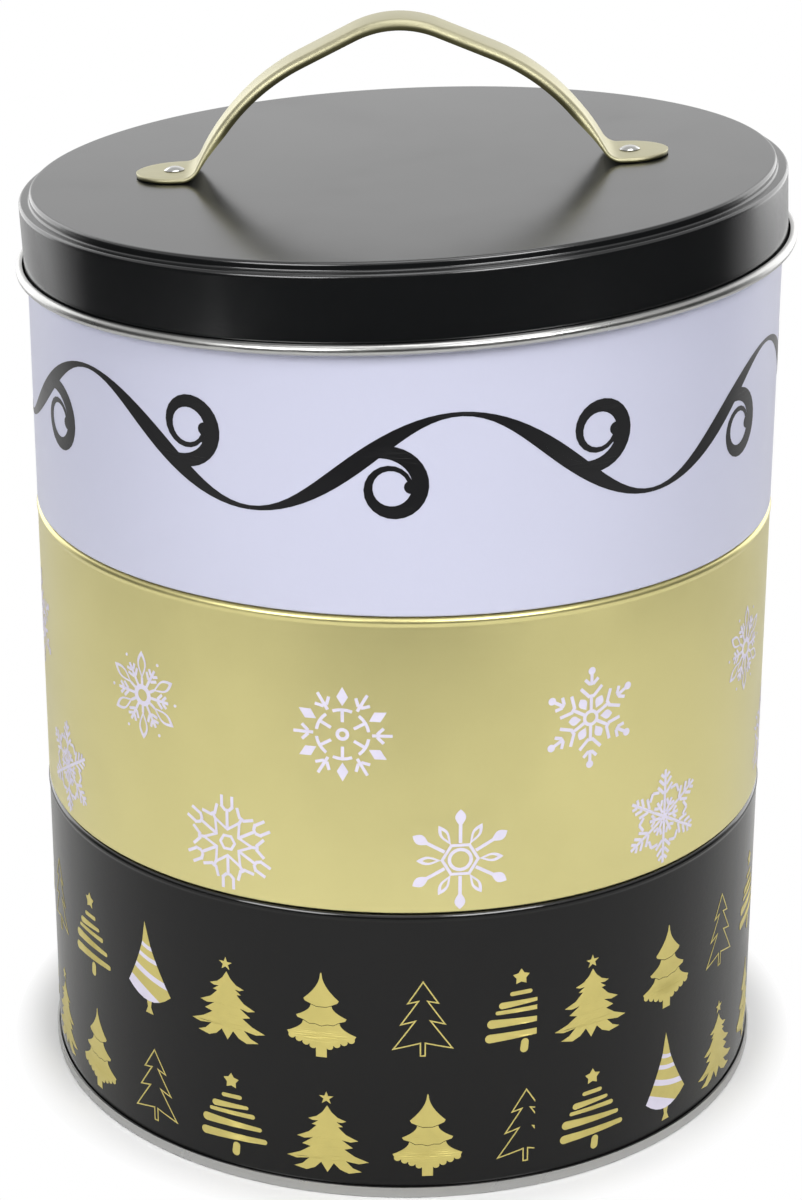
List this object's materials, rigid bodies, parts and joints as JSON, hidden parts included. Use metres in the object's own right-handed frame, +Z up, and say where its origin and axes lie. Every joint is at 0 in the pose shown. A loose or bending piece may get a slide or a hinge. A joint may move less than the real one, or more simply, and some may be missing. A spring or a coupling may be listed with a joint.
{
  "type": "stacking cookie tin",
  "caption": "Round stacking tins of painted tinplate with rolled rims and necked feet, closed by a slip-on lid with a riveted strap handle, for carrying cookies.",
  "frame": {"origin": "on the floor, at the middle of the bottom tin's foot", "axes": "+Z up along the stack, +X along the handle, -Y to the front"},
  "size_m": [0.2062, 0.2065, 0.2923],
  "materials": {
    "lid_black": "satin",
    "handle_brass": "satin",
    "rivet_steel": "polished",
    "white_print": "satin",
    "gold_print": "satin",
    "black_print": "satin",
    "tinplate": "bright"
  },
  "bodies": {
    "bottom_tin": {"bottom_tin_wall": "black_print", "bottom_tin_base": "tinplate"},
    "middle_tin": {"middle_tin_wall": "gold_print", "middle_tin_base": "tinplate"},
    "top_tin": {"top_tin_wall": "white_print", "top_tin_base": "tinplate"},
    "lid": {"lid_shell": "lid_black", "lid_handle": "handle_brass", "rivet_left": "rivet_steel", "rivet_right": "rivet_steel"}
  },
  "joints": [
    {"name": "middle_tin_lift", "type": "slide", "parent": "bottom_tin", "child": "middle_tin", "axis": [0, 0, 1], "range_m": [0, 0.12]},
    {"name": "top_tin_lift", "type": "slide", "parent": "middle_tin", "child": "top_tin", "axis": [0, 0, 1], "range_m": [0, 0.12]},
    {"name": "lid_lift", "type": "slide", "parent": "top_tin", "child": "lid", "axis": [0, 0, 1], "range_m": [0, 0.15]}
  ]
}
